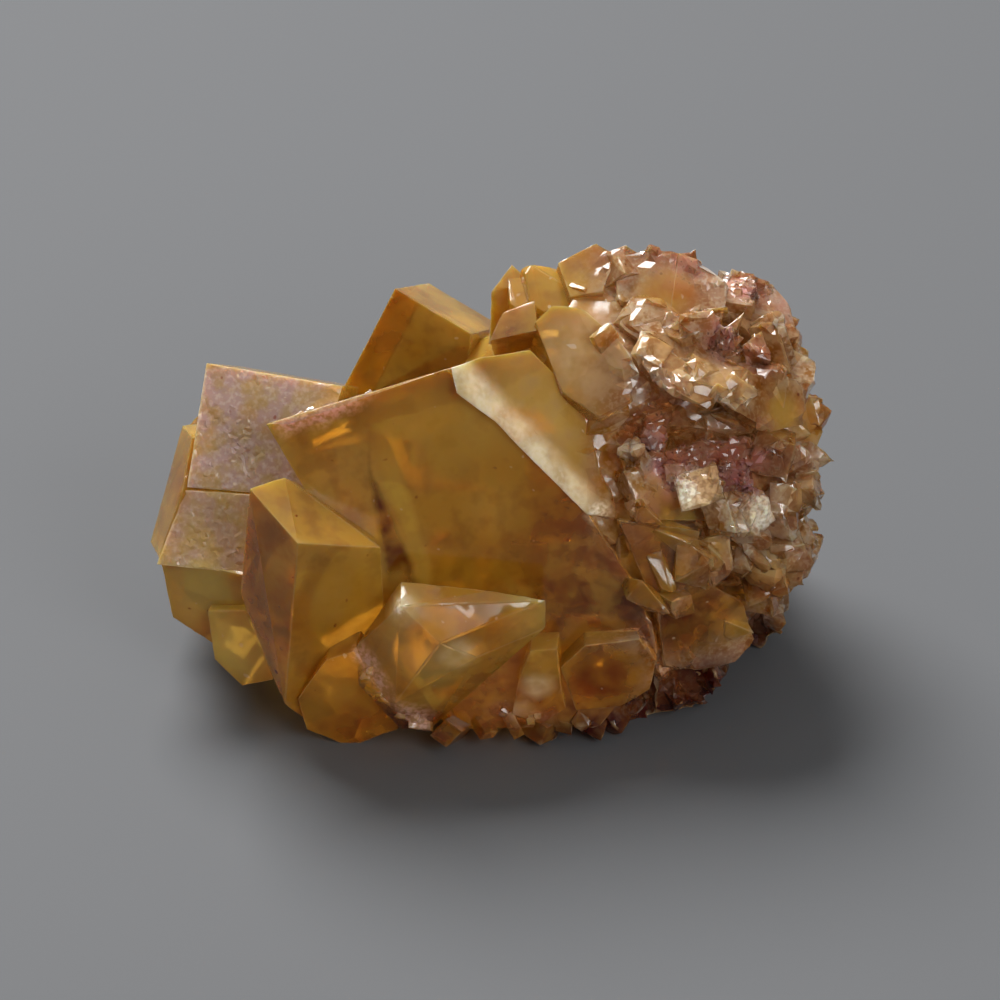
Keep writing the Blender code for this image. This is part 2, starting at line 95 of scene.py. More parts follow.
# the colours, each laid over those before it: mostly the stone's own, with painted shade in some and a
# painted glint in one. cloudy is how much it stops the light, patchy is how much of it breaks up into the
# pattern that it is drawn with.
# A spot has a middle or the two ends of a streak in mm, its reach and its strength,
# and for some the way that a face has to look to take it
tints = dict(
    clear=dict(colour="#f8ec88", cloudy=0.15, patchy=0.2, drawn="clouds", spots=[
        ((-18.0, -6.2, 8.0), 4.5, 0.8), ((-15.7, -7.8, 5.2), 3.8, 1.0), ((-17.4, -5.6, 12.2), 3.0, 0.4),
        ((2.4, -13.2, 11.0), 2.4, 0.4), ((-3.0, -14.6, 8.0), 2.6, 0.4),
        ((-6.0, 12.0, 9.0), 5.0, 0.6), ((-20.0, 2.0, 6.0), 5.0, 0.5)]),
    honey=dict(colour="#e0b450", cloudy=0.3, patchy=0.5, drawn="mottle", spots=[
        ((17.8, -3.8, 19.4), 3.0, 0.8), ((19.6, -1.0, 17.4), 2.6, 0.8), ((17.0, -9.0, 10.8), 3.0, 0.8),
        ((10.0, -10.6, 11.8), 2.2, 0.9), ((13.2, -9.8, 13.4), 2.4, 0.8),
        ((-4.0, -8.0, 21.0), 5.0, 0.5, frontWay), ((-9.0, -12.6, 3.5), 3.5, 0.6),
        ((-9.3, -12.3, 12.0), 3.4, 0.5), ((-17.0, -5.6, 12.2), 3.0, 0.4)]),
    amber=dict(colour="#d4881c", cloudy=0.0, patchy=0.5, drawn="mottle", spots=[
        ((11.3, 1.3, 24.8), 2.4, 0.9), ((17.2, -9.2, 10.4), 1.4, 0.9),
        ((-13.6, -12.0, 12.0), 7.0, 0.6, prismWay), ((-12.0, 11.0, 14.0), 5.0, 0.5),
        ((-18.0, 4.0, 14.0), 5.0, 0.4), ((-2.0, 14.0, 4.0), 5.0, 0.5), ((19.8, -0.6, 16.6), 1.6, 0.6)]),
    # the stone's dark orange-brown, and also painted shade: darker along the bottom near the floor and on a
    # few faces that look up
    brownAndShade=dict(colour="#7c3008", cloudy=0.1, patchy=0.35, drawn="mottle", spots=[
        ((-20.0, -3.2, 12.5), 4.0, 0.4), ((-6.0, 3.8, 20.8), 5.0, 0.4), ((6.1, 4.1, 26.2), 2.6, 0.4),
        ((-17.0, 8.0, 3.0), 6.0, 0.7), (((-10.0, 12.0, 0.0), (6.0, 12.0, 0.0)), 4.0, 0.8),
        ((-1.0, 9.0, 16.0), 5.0, 0.6), ((7.0, -10.2, 11.5), 8.5, 0.85, frontWay),
        ((1.5, -12.0, 3.0), 5.5, 0.7), ((9.0, -10.5, 12.5), 3.0, 0.6), ((14.7, -8.4, 10.5), 2.2, 0.9),
        ((12.0, -9.2, 8.0), 4.0, 0.9), ((-9.0, -12.6, 3.5), 4.0, 0.2), ((10.8, -8.6, 15.8), 2.4, 0.5),
        ((1.1, -1.7, 24.5), 2.6, 0.7), ((6.7, -12.1, 5.3), 3.0, 0.9), ((-12.0, -11.6, 17.8), 3.0, 0.3),
        # painted shade along the bottom, where the specimen meets the floor
        (((-8.0, -12.8, 1.5), (12.0, -9.4, 2.0)), 4.0, 0.8)]),
    haze=dict(colour="#e0c088", cloudy=0.4, patchy=0.5, drawn="mottle", spots=[
        ((2.6, -6.8, 21.4), 6.0, 0.4, wedgeWay), ((6.0, -3.7, 24.3), 4.5, 0.8, plateWay),
        ((-4.2, -13.9, 9.6), 3.2, 0.35), ((-8.0, 8.0, 18.0), 4.0, 0.7), ((2.0, 13.0, 9.0), 4.0, 0.6),
        ((-20.0, 7.0, 10.0), 4.0, 0.6)]),
    pale=dict(colour="#f0dcac", cloudy=0.8, patchy=0.45, drawn="mottle", spots=[
        (((-2.2, -7.3, 25.0), (5.4, -9.1, 17.0)), 1.8, 0.9, wedgeWay),
        (((9.9, -3.4, 24.0), (15.2, -5.0, 22.2)), 1.8, 0.7), ((12.6, -5.6, 22.4), 1.2, 0.7),
        ((18.3, -6.1, 15.2), 2.0, 0.7), ((17.2, -8.8, 11.4), 1.4, 0.8), ((-5.4, -13.6, 11.8), 1.6, 0.6),
        ((-2.0, -14.6, 9.0), 1.8, 0.6), ((2.8, -12.6, 5.2), 1.5, 0.7), ((1.8, -12.8, 3.2), 1.3, 0.6)]),
    mauve=dict(colour="#cc8888", cloudy=0.6, patchy=0.6, drawn="mottle", spots=[
        ((11.6, -6.5, 17.9), 3.4, 1.0), ((15.3, -6.4, 17.6), 3.6, 1.0), ((9.9, -5.2, 19.0), 2.6, 0.9),
        ((14.5, -2.3, 24.3), 2.4, 0.9), ((16.5, -2.2, 22.6), 1.8, 0.8), ((15.8, 3.6, 24.3), 2.4, 0.8),
        ((18.6, 3.4, 22.2), 1.8, 0.5), ((9.4, -8.8, 16.4), 1.6, 0.4), ((11.6, 3.4, 26.4), 2.6, 0.5)]),
    hoar=dict(colour="#d0a898", cloudy=0.9, patchy=0.6, drawn="grain", spots=[
        (((-12.5, -8.4, 21.8), (-1.4, -5.4, 25.2)), 0.9, 1.0),
        (((-8.0, -13.0, 8.0), (-4.4, -13.3, 2.8)), 1.0, 0.9),
        (((0.6, -12.2, 3.0), (3.6, -12.2, 2.6)), 0.8, 0.3)]),
    # rust-red stains in the druse, and at the base a dark red crust that is partly painted shade
    rustAndShade=dict(colour="#400e06", cloudy=0.9, patchy=0.3, drawn="mottle", spots=[
        ((14.0, -2.9, 19.3), 1.7, 0.5), ((9.6, -5.6, 18.4), 1.2, 0.8), ((16.6, -2.3, 22.2), 0.8, 1.0),
        # the dark crust along the bottom, partly painted shade under the specimen
        (((5.0, -11.4, 0.0), (13.0, -7.6, 0.8)), 4.0, 1.0),
        (((13.0, -7.6, 1.6), (17.0, 2.0, 1.0)), 4.4, 1.0)]),
    # chalky white of the stone, and at the front chip a painted glint
    chalkAndGlint=dict(colour="#fff4dc", cloudy=1.0, patchy=0.5, drawn="grain", spots=[
        ((6.7, -9.0, 15.8), 1.2, 1.0), (((-2.2, -7.3, 25.0), (5.4, -9.1, 17.0)), 1.3, 0.5, wedgeWay),
        ((12.6, -8.9, 17.5), 2.4, 1.0), ((16.4, -8.3, 15.3), 1.7, 1.0), ((13.2, -4.8, 23.0), 0.9, 0.5),
        ((-12.2, -1.2, 18.8), 2.2, 0.5, blockWay), ((-14.5, -3.0, 16.0), 2.4, 0.35, blockWay),
        # a painted glint on the front chip
        ((-5.7, -13.7, 12.1), 0.8, 1.0)]),
)

# healed growth bands that show through the front face, as strips in X and Z, in mm.
# edge is how far from a strip's own edge it starts and is full
panes = [
    dict(start=(-7.5, 18.8), end=(-5.7, 12.4), halfWidth=(0.05, 0.95), edge=(-0.15, 0.35),
         least=0.6, most=1.0, colour="#64280a"),
    dict(start=(-6.3, 19.4), end=(-4.2, 12.0), halfWidth=(0.65, 0.60), edge=(-0.15, 0.35),
         least=0.85, most=0.5, colour="#f0c850"),
]
paneSpots = [((-5.8, -9.3, 15.6), 6.5, 1.0, frontWay)]  # where they show

spotCore = 0.35  # the part of a spot's reach in which it has its full strength
facingTint = (0.9, 0.98)  # how nearly a face looks the spot's way, from none of it to all of it


def zoneStrength(points, normals, spots):
    # how strong the strongest of the spots is at each point
    strength = np.zeros(len(points))
    for where, reach, most, *way in spots:
        start, end = np.array(where if isinstance(where[0], tuple) else (where, where))
        run = end - start
        share = np.clip((points - start) @ run / max(run @ run, 1e-9), 0, 1)
        away = np.linalg.norm(points - start - share[:, None] * run, axis=1)
        share = most * (1 - smoothRise(away, reach * spotCore, reach))
        if way:
            share *= smoothRise(normals @ np.array(way[0]), *facingTint)
        strength = np.maximum(strength, share)
    return strength


# the small crystals that grow on the big ones, in mm
druse = dict(
    seed=7,
    begins=4.5,  # along X, from the first small crystals to the full coat
    full=9.0,
    kinds=[  # how many, size, thickness for width, and the tint that they keep to
        (22, (1.4, 2.8), 0.9, None),  # crystals that stand in the druse
        (34, (1.2, 2.6), 0.22, None),  # broken plates
        (300, (0.35, 0.8), 0.8, "mauve"),  # the granular coat in the hollows
        (24, (0.7, 1.6), 0.7, "rustAndShade"),  # the crust that it grew from
    ],
    along=(1.0, 0.2, -0.5),  # the way that most of them lie
    parallel=7.0,  # across which neighbours stand nearly parallel
    strayAlong=0.25,  # how far each strays from that way
    strayUp=0.2,  # and from standing straight out
    lean=0.3,  # radians that each turns besides
    halfSize=(0.34, 0.6),  # half of each side, as a part of the size
    uneven=(0.8, 1.1),  # how far out a corner is, where a perfect block has 1
    cleaved=(-0.3, 1.4),  # cut off an outer corner, as a part of the thinnest half side, none below 0
    widestFace=14.0,  # mm2, a wider face has stayed clean
    baseFacing=-0.95,  # a face that looks down this much is the broken base
    sunk=0.25,  # part of its size that a crystal's middle lies under the surface
    lowest=0.15,  # above what the specimen rests on
    calm=[  # glassy blocks that stay clean
        ((10.6, -8.8, 15.4), 3.4, 1.0), ((9.8, -10.6, 12.2), 3.4, 1.0), ((12.6, -9.3, 8.2), 4.2, 1.0),
        ((7.0, -12.0, 5.3), 4.4, 1.0), ((6.6, -10.2, 10.0), 4.0, 1.0), ((15.2, -8.4, 7.4), 3.0, 0.9),
        ((18.0, -3.6, 19.4), 1.8, 0.8), ((10.6, 1.6, 25.0), 2.6, 0.9)],
    # the larger splinters: where each stands, the way it lies, the way it faces,
    # and half its length, width and thickness
    splinters=[
        ((12.6, -8.7, 17.5), (1.0, 0.1, -0.1), (0.05, -0.74, 0.67), (1.35, 1.15, 0.30)),  # pale plate
        ((11.3, -7.6, 17.9), (1.0, 0.3, -0.3), (-0.2, -0.70, 0.67), (0.75, 0.60, 0.30)),
        ((16.6, -8.0, 15.2), (0.25, -0.3, -1.0), (0.37, -0.81, 0.45), (1.05, 0.45, 0.30)),  # slender pair
        ((15.9, -8.2, 15.4), (0.0, -0.3, -1.0), (-0.3, -0.81, 0.45), (0.80, 0.35, 0.30)),
        ((15.0, -8.1, 16.1), (1.0, -0.2, -0.3), (0.2, -0.80, 0.50), (0.55, 0.25, 0.20)),
        ((9.9, -3.4, 24.0), (0.9, -0.3, -0.3), (0.10, -0.55, 0.83), (1.10, 0.90, 0.25)),  # shingled ledge
        ((11.4, -4.6, 23.2), (0.9, -0.3, -0.3), (0.25, -0.60, 0.76), (1.50, 1.10, 0.22)),
        ((13.4, -4.4, 22.9), (0.9, -0.2, -0.4), (0.20, -0.50, 0.84), (1.40, 1.00, 0.22)),
        ((15.2, -5.0, 22.2), (0.8, -0.2, -0.6), (0.30, -0.55, 0.78), (1.10, 0.80, 0.22)),
        ((12.6, -5.6, 22.4), (0.9, -0.3, -0.3), (0.10, -0.80, 0.59), (1.20, 0.70, 0.20)),
        ((13.4, -3.1, 20.4), (1.0, 0.0, -0.2), (0.29, -0.88, 0.39), (1.30, 0.12, 0.25)),  # hollow's ribs
        ((14.0, -3.3, 19.7), (1.0, 0.0, -0.2), (0.29, -0.88, 0.39), (1.40, 0.12, 0.25)),
        ((14.6, -3.6, 18.9), (1.0, 0.0, -0.2), (0.29, -0.88, 0.39), (1.20, 0.12, 0.25)),
        ((16.6, -8.8, 11.7), (0.9, -0.1, -0.5), (0.00, -0.95, 0.30), (1.30, 0.90, 0.35)),  # over the cavity
        ((17.6, -9.0, 10.8), (0.5, 0.0, -0.9), (-0.30, -0.90, 0.30), (1.20, 0.60, 0.35)),
        ((13.0, -9.8, 13.3), (0.5, 0.0, -0.9), (0.30, -0.90, 0.30), (1.30, 0.50, 0.35)),
        ((10.4, -10.4, 12.4), (0.6, 0.0, -0.8), (0.13, -0.97, 0.22), (1.40, 0.50, 0.40)),
        ((18.8, -8.2, 11.8), (0.8, 0.2, -0.3), (0.30, -0.80, 0.50), (1.00, 0.80, 0.60)),
        ((3.8, 4.0, 23.3), (0.8, 0.2, 0.5), (0.00, -0.50, 0.85), (1.90, 1.60, 1.60)),  # behind the crest
        ((2.3, 3.6, 22.7), (0.7, -0.3, 0.6), (-0.20, -0.40, 0.90), (1.30, 1.30, 1.30)),
    ],
    # broken rims: the way along each, how many flakes, their length, and thickness for length
    rims=[
        ([(-12.6, -8.0, 21.9), (-10.6, -7.3, 22.3), (-6.5, -6.3, 23.2), (-3.0, -5.4, 24.4)],
         10, (0.4, 0.8), 0.14),  # crest
        ([(-8.0, -13.0, 8.0), (-7.4, -13.2, 5.4), (-5.2, -13.3, 3.4), (-4.0, -13.2, 2.8)],
         14, (0.6, 1.2), 0.4),  # chip
        ([(0.6, -12.2, 3.0), (2.0, -12.4, 2.5), (3.6, -12.2, 2.6)], 5, (0.5, 1.0), 0.5),  # pale foot
    ],
    flakeFacing=(0.0, -0.5, 0.8),
    flakeTip=0.3,  # how far a flake strays from that
    flakeStray=0.25,  # and from its rim
    flakeWidth=0.4,  # half of it, as a part of the length
    flakeUneven=(0.6, 1.2),  # how much that varies
)


def druseShare(points):
    # how much of the druse there is at each point, from 0 on a clean face to 1
    calm = zoneStrength(points, points, druse["calm"])
    return smoothRise(points[:, 0], druse["begins"], druse["full"]) * (1 - calm)


def shaken(dice, reach):
    return Vector([dice.uniform(-reach, reach) for axis in range(3)])


def smallCrystal(dice, place, along, outward, half):
    # the corners of one small cube or plate, its outer corners cleaved off at the octahedral slant
    side = outward.cross(along).normalized()
    along = side.cross(outward).normalized()
    lean = Euler(shaken(dice, druse["lean"])).to_matrix()
    turn = Matrix((along, side, outward)).transposed() @ lean
    points = []
    for ends in itertools.product((-1, 1), repeat=3):
        corner = Vector([end * reach * dice.uniform(*druse["uneven"]) for end, reach in zip(ends, half)])
        cleaved = dice.uniform(*druse["cleaved"]) * min(half)
        if ends[2] < 0 or cleaved < 0:
            points.append(corner)
            continue
        for axis in range(3):
            back = corner.copy()
            back[axis] -= ends[axis] * cleaved
            points.append(back)
    return [place + turn @ point for point in points]


def growthChance(point, facet, tint):
    # how likely a small crystal is at a point of a face: in the druse, or in a tint's spots
    normal = np.array(facet.normal)
    point = np.array(point)[None]
    if normal[2] < druse["baseFacing"]:
        return 0.0
    if tint:
        return zoneStrength(point, normal[None], tints[tint]["spots"])[0] ** 2
    if facet.calc_area() > druse["widestFace"] * mm * mm:
        return 0.0
    return float(druseShare(point)[0])


def surfaceSpots(shape, dice, count, tint):
    # places on the surface, thick where the chance of growth is high
    patches = []
    weights = []
    for corners in shape.calc_loop_triangles():
        a, b, c = [corner.vert.co for corner in corners]
        facet = corners[0].face
        patches.append((a, b, c, facet.normal))
        weights.append((b - a).cross(c - a).length * growthChance((a + b + c) / 3 / mm, facet, tint))
    for a, b, c, outward in dice.choices(patches, weights, k=count):
        s, t = math.sqrt(dice.random()), dice.random()
        yield a * (1 - s) + b * (s * (1 - t)) + c * (s * t), outward


def growSmallCrystals(shape):
    dice = random.Random(druse["seed"])
    grown = []
    for count, sizes, thickness, tint in druse["kinds"]:
        for place, outward in surfaceSpots(shape, dice, count, tint):
            size = dice.uniform(*sizes) * mm
            half = [size * dice.uniform(*druse["halfSize"]) for axis in range(3)]
            half[1] *= thickness
            drift = noiseVector(place / (druse["parallel"] * mm)) + shaken(dice, druse["strayAlong"])
            tipped = (outward + shaken(dice, druse["strayUp"])).normalized()
            middle = place - outward * size * druse["sunk"]
            grown.append(smallCrystal(dice, middle, Vector(druse["along"]) + drift, tipped, half))
    for way, count, sizes, thickness in druse["rims"]:
        for flake in range(count):
            start = dice.randrange(len(way) - 1)
            first, last = Vector(way[start]) * mm, Vector(way[start + 1]) * mm
            size = dice.uniform(*sizes) * mm
            width = size * druse["flakeWidth"] * dice.uniform(*druse["flakeUneven"])
            half = [size / 2, width, size / 2 * thickness]
            place = first.lerp(last, dice.random()) + shaken(dice, druse["flakeStray"] * mm)
            outward = (Vector(druse["flakeFacing"]) + shaken(dice, druse["flakeTip"])).normalized()
            grown.append(smallCrystal(dice, place, last - first, outward, half))
    for place, along, outward, half in druse["splinters"]:
        half = [reach * mm for reach in half]
        outward = Vector(outward).normalized()
        grown.append(smallCrystal(dice, Vector(place) * mm, Vector(along), outward, half))
    grown = [corners for corners in grown if min(corner.z for corner in corners) > druse["lowest"] * mm]
    print("small crystals grown:", len(grown))
    return grown


def weldedCopy(node):
    shape = bmesh.new()
    shape.from_mesh(node.data)
    bmesh.ops.remove_doubles(shape, verts=shape.verts, dist=0.001 * mm)
    return shape


def flatFaces(shape):
    # joins the triangles of each flat face into one
    level = math.radians(0.4)
    bmesh.ops.dissolve_limit(shape, angle_limit=level, verts=shape.verts, edges=shape.edges)
    shape.normal_update()


def apartGroups(grown):
    # groups in which no two crystals touch, so that each group is a clean solid to join on
    groups = []
    for corners in grown:
        middle = sum(corners, Vector()) / len(corners)
        reach = max((corner - middle).length for corner in corners)
        for group in groups:
            if all((middle - other).length > reach + far for other, far, placed in group):
                group.append((middle, reach, corners))
                break
        else:
            groups.append([(middle, reach, corners)])
    return [[corners for middle, reach, corners in group] for group in groups]


def meshObject(name, shape):
    mesh = bpy.data.meshes.new(name)
    shape.to_mesh(mesh)
    shape.free()
    return addToScene(name, mesh)


def joinOn(shape, grown):
    # one closed solid of the big crystals and all the small ones
    body = meshObject("body", shape)
    helpers = []
    for group in apartGroups(grown):
        solids = bmesh.new()
        for corners in group:
            points = [solids.verts.new(corner) for corner in corners]
            hull = bmesh.ops.convex_hull(solids, input=points)
            bmesh.ops.delete(solids, geom=list(set(hull["geom_interior"])), context="VERTS")
        helper = meshObject("helper", solids)
        join = body.modifiers.new("join", "BOOLEAN")
        join.operation = "UNION"
        join.solver = "MANIFOLD"
        join.object = helper
        helpers.append(helper)
    joined = bmesh.new()
    joined.from_mesh(body.evaluated_get(bpy.context.evaluated_depsgraph_get()).to_mesh())
    for helper in helpers + [body]:
        bpy.data.objects.remove(helper)
    print("joined in", len(helpers), "groups, faces:", len(joined.faces))
    return joined


def dropLooseBits(shape):
    # keeps the one body that holds nearly all the points
    waiting = set(shape.verts)
    bodies = []
    while waiting:
        edge = [waiting.pop()]
        found = set(edge)
        while edge:
            for link in edge.pop().link_edges:
                for point in link.verts:
                    if point in waiting:
                        waiting.discard(point)
                        found.add(point)
                        edge.append(point)
        bodies.append(found)
    bodies.sort(key=len)
    for body in bodies[:-1]:
        bmesh.ops.delete(shape, geom=list(body), context="VERTS")


def sortPoints(shape):
    # points in order of place, because the Boolean can list them in another order each run
    oneWay = Vector((1.0, 0.137, 0.0171))
    shape.verts.sort(key=lambda vert: vert.co.dot(oneWay))
    shape.verts.index_update()
    shape.edges.index_update()
    shape.faces.ensure_lookup_table()


# the finish of each face: fine relief, worn edges and etching, in mm
relief = dict(
    seed=21,
    seedWay=(8113.0, 5779.0, 3137.0),  # turns a place into a number of its own
    # worn edges
    edgeStep=0.45,  # between points along an edge
    edgeStray=0.25,  # part of a step that such a point strays
    shortEdge=0.63,  # up to this long an edge gets no points
    sharpBend=0.3,  # radians, where an outer edge is sharp enough to be rubbed
    wornAndShining=0.035,  # how far an outer edge is rubbed back
    wornUneven=(0.5, 1.6),  # how much that varies
    wornCorner=0.6,  # part of that at a corner
    filled=0.3,  # part of that by which an inner edge is filled
    longEdge=2.2,  # an edge this long shows a pale line, for its rubbing and as a painted edge highlight
    shortWorn=0.3,  # how often a point of a shorter one does
    # points on the faces
    rim=0.10,  # how far from the edge the rubbing reaches
    rimClear=0.8,  # part of that which its points keep from every edge
    smallFace=0.5,  # mm2, up to this area a face gets no points
    smoothStep=0.7,  # between points on a glassy face
    roughStep=0.33,  # on the druse
    frostStep=0.21,  # on an etched face
    rowGap=0.866,  # between rows for the step, which makes even triangles
    gridStray=0.28,  # part of a step that a point strays
    gridMargin=0.35,  # part of a step kept clear inside the rim
    # relief
    smoothSwell=(0.018, 2.6),  # high and long, slow waves of a glassy face
    roughSwell=(0.035, 0.6),
    brokenFacet=2.3,  # across, the broken side is made of small flat facets
    brokenTilt=0.34,  # how steep they stand
    brokenStep=0.22,  # from one to the next
    brokenFrom=0.05,  # the share of druse from which they show
    frostPit=0.032,  # how deep the etching goes
    etchPatch=2.2,  # across, the patches in which it goes deepest
    etchBlur=0.3,  # how softly they end
    etchShallow=0.5,  # part of the depth between them
    hollowPit=0.05,  # the granular hollows
    crushed=1.6,  # across, patches of the broken side that glitter in tiny facets
    crushedOver=-0.05,  # where their noise is over this
    apart=(5.3, 3.7, 9.1),  # spread the facets over the noise, so that neighbours draw far apart
    keepFlat=(0.02, 0.4),  # how high above the flat base the relief starts and is full
    sharpEdge=14,  # degrees, a smooth face breaks off at an edge that bends more
    # etched dull, with the way a face has to look to be etched there
    etched=[
        ((-14.0, -2.0, 17.0), 7.5, 1.0, blockWay), ((-15.6, -6.7, 10.6), 5.0, 0.8, blockWay),
        ((-17.5, -4.6, 14.0), 4.0, 0.9, blockWay), ((-17.0, -5.6, 12.2), 4.0, 0.6, blockWay),
        (((-10.6, -7.6, 22.4), (-1.4, -5.4, 25.2)), 1.4, 1.0)],
    dull=0.45,  # a face with more frost than this is pitted finely all over
    upward=(0.6, 0.85),  # how far up a face looks where it starts to dull, and where it is dustyTop dull
    dustyTop=0.08,
    paleFilm=0.3,  # a pale film as strong as this covers the frost
    underPale=0.35,  # part of the frost that is left there
)


def insideFace(outline, spots, margin):
    # which spots lie inside the outline and further than margin from its edges
    start, end = outline, np.roll(outline, -1, axis=0)
    run = end - start
    to = spots[:, None, :] - start[None]
    share = np.clip((to * run).sum(2) / np.maximum((run * run).sum(1), 1e-12), 0, 1)
    away = np.linalg.norm(to - share[..., None] * run, axis=2).min(1)
    above = (start[:, 1][None] > spots[:, 1][:, None]) != (end[:, 1][None] > spots[:, 1][:, None])
    rise = np.where(run[:, 1] == 0, 1e-12, run[:, 1])
    crossing = start[:, 0] + (spots[:, 1][:, None] - start[:, 1]) * run[:, 0] / rise
    inside = (above & (spots[:, 0][:, None] < crossing)).sum(1) % 2 == 1
    return inside & (away > margin)


def diceAt(place):
    # the same draws at the same place, whatever the order in which faces come
    return np.random.default_rng(relief["seed"] + int(abs(np.dot(place, relief["seedWay"]))))


def addPoint(net, place, push=(0.0, 0.0, 0.0), wornAndShining=0.0, pit=0.0):
    # push is how far wear or filling moves the point, the pale line how pale rubbing and a painted edge
    # highlight make it, and pit how etching moves it, from -1, down, to 1
    net["points"].append(place)
    net["push"].append(np.array(push))
    net["wornAndShining"].append(wornAndShining)
    net["pit"].append(pit)
    return len(net["points"]) - 1


def edgePoints(shape, net):
    # the points along each edge from its first end to its second, with outer edges rubbed back
    points = net["points"]
    along = {}
    for edge in shape.edges:
        first, last = sorted(vert.index for vert in edge.verts)
        outer = edge.is_convex and edge.calc_face_angle(0.0) > relief["sharpBend"]
        out = sum((face.normal for face in edge.link_faces), Vector()).normalized()
        back = -np.array(out) * relief["wornAndShining"]
        length = np.linalg.norm(points[last] - points[first])
        long = length > relief["longEdge"]
        dice = diceAt((points[first] + points[last]) / 2)
        row = [first]
        cuts = max(1, round(length / relief["edgeStep"])) if length > relief["shortEdge"] else 1
        for cut in range(1, cuts):
            share = (cut + dice.uniform(-relief["edgeStray"], relief["edgeStray"])) / cuts
            rubbed = dice.uniform(*relief["wornUneven"]) if outer else -relief["filled"]
            # a pale line on the edge, as rubbing and as a painted edge highlight
            shown = float(outer and (long or dice.random() < relief["shortWorn"]))
            place = points[first] * (1 - share) + points[last] * share
            row.append(addPoint(net, place, back * rubbed, shown))
        along[edge.index] = row + [last]
        if outer:
            for end in (first, last):
                net["push"][end] = net["push"][end] + back * relief["wornCorner"]
                net["wornAndShining"][end] = max(net["wornAndShining"][end], float(long))
    return along


def rimRow(outline):
    # one row of points just inside the outline, where the rubbing of the edge ends
    ahead = np.roll(outline, -1, axis=0) - outline
    ahead /= np.maximum(np.linalg.norm(ahead, axis=1), 1e-9)[:, None]
    behind = np.roll(ahead, 1, axis=0)
    inward = np.stack((-(ahead + behind)[:, 1], (ahead + behind)[:, 0]), 1)
    inward /= np.maximum(np.linalg.norm(inward, axis=1), 1e-9)[:, None]
    inner = outline + inward * relief["rim"]
    return inner[insideFace(outline, inner, relief["rim"] * relief["rimClear"])]


def looseGrid(outline, step, dice):
    # points all over the inside of the outline, in rows of even triangles that stray a little
    low, high = outline.min(0), outline.max(0)
    columns = np.arange(low[0], high[0], step)
    rows = np.arange(low[1], high[1], step * relief["rowGap"])
    if not len(columns) or not len(rows):
        return np.zeros((0, 2))
    grid = np.array([(x + (j % 2) * step / 2, y) for j, y in enumerate(rows) for x in columns])
    grid += dice.uniform(-relief["gridStray"], relief["gridStray"], grid.shape) * step
    return grid[insideFace(outline, grid, relief["rim"] + relief["gridMargin"] * step)]


def frostOf(middle, normal, broken):
    # how dull a face is etched, by its place and by how much it looks up
    dusty = float(smoothRise(normal[2], *relief["upward"])) * relief["dustyTop"] * (1 - broken)
    frosted = max(dusty, zoneStrength(middle[None], normal[None], relief["etched"])[0])
    if zoneStrength(middle[None], normal[None], tints["pale"]["spots"])[0] > relief["paleFilm"]:
        frosted *= relief["underPale"]
    return frosted


def dividedFaces(shape):
    # every face cut into small triangles, fine enough to carry its relief
    net = dict(points=[], push=[], wornAndShining=[], pit=[])
    for vert in shape.verts:
        addPoint(net, np.array(vert.co) / mm)
    along = edgePoints(shape, net)
    triangles = []
    facetOf = []
    facets = []
    for number, face in enumerate(shape.faces):
        ring = []
        for loop in face.loops:
            row = along[loop.edge.index]
            ring += row[:-1] if row[0] == loop.vert.index else row[:0:-1]
        lowest = ring.index(min(ring))
        ring = ring[lowest:] + ring[:lowest]
        middle = np.array(face.calc_center_median()) / mm
        normal = np.array(face.normal)
        dice = diceAt(middle)
        broken = float(druseShare(middle[None])[0])
        frosted = frostOf(middle, normal, broken)
        facets.append((frosted, normal, dice.random()))
        across = np.cross(normal, (0.31, 0.87, 0.39))  # any way but the normal's own
        across /= np.linalg.norm(across)
        base = np.stack((across, np.cross(normal, across)), 1)
        outline = (np.array([net["points"][i] for i in ring]) - middle) @ base
        spots = outline
        if face.calc_area() / mm / mm > relief["smallFace"]:
            step = relief["smoothStep"] * (1 - broken) + relief["roughStep"] * broken
            if frosted > relief["dull"]:
                step = relief["frostStep"]
            spots = np.concatenate((outline, rimRow(outline), looseGrid(outline, step, dice)))
        if len(spots) == 3:
            triangles.append(ring)
            facetOf.append(number)
            continue
        made = delaunay_2d_cdt([Vector(spot) for spot in spots], [], [list(range(len(ring)))], 1, 1e-7)
        ids = []
        for spot, origin in zip(made[0], made[3]):
            if origin and origin[0] < len(ring):
                ids.append(ring[origin[0]])
            else:
                ids.append(addPoint(net, middle + base @ np.array(spot), pit=dice.uniform(-1, 1)))
        for corners in made[2]:
            triangles.append([ids[i] for i in corners])
            facetOf.append(number)
    print("faces:", len(facets), "points:", len(net["points"]), "triangles:", len(triangles))
    return net, np.array(triangles), np.array(facetOf), facets


def brokenFacet(point):
    # how far a point of the broken side stands out, by the small flat facet that it is on
    scaled = Vector(point) / relief["brokenFacet"]
    middle = noise.voronoi(scaled)[1][0]
    tilt = noiseVector(middle * relief["apart"][0]) * relief["brokenTilt"] * relief["brokenFacet"]
    return (scaled - middle).dot(tilt) + noise.noise(middle * relief["apart"][1]) * relief["brokenStep"]


def spreadTone(tone, middles):
    # each small facet of the broken side gets a tone of its own
    for index in np.flatnonzero(middles[:, 0] > druse["begins"]):
        cell = noise.voronoi(Vector(middles[index]) / relief["brokenFacet"])[1][0]
        tone[index] = (tone[index] + noise.cell(cell * relief["apart"][2])) / 2
    return tone


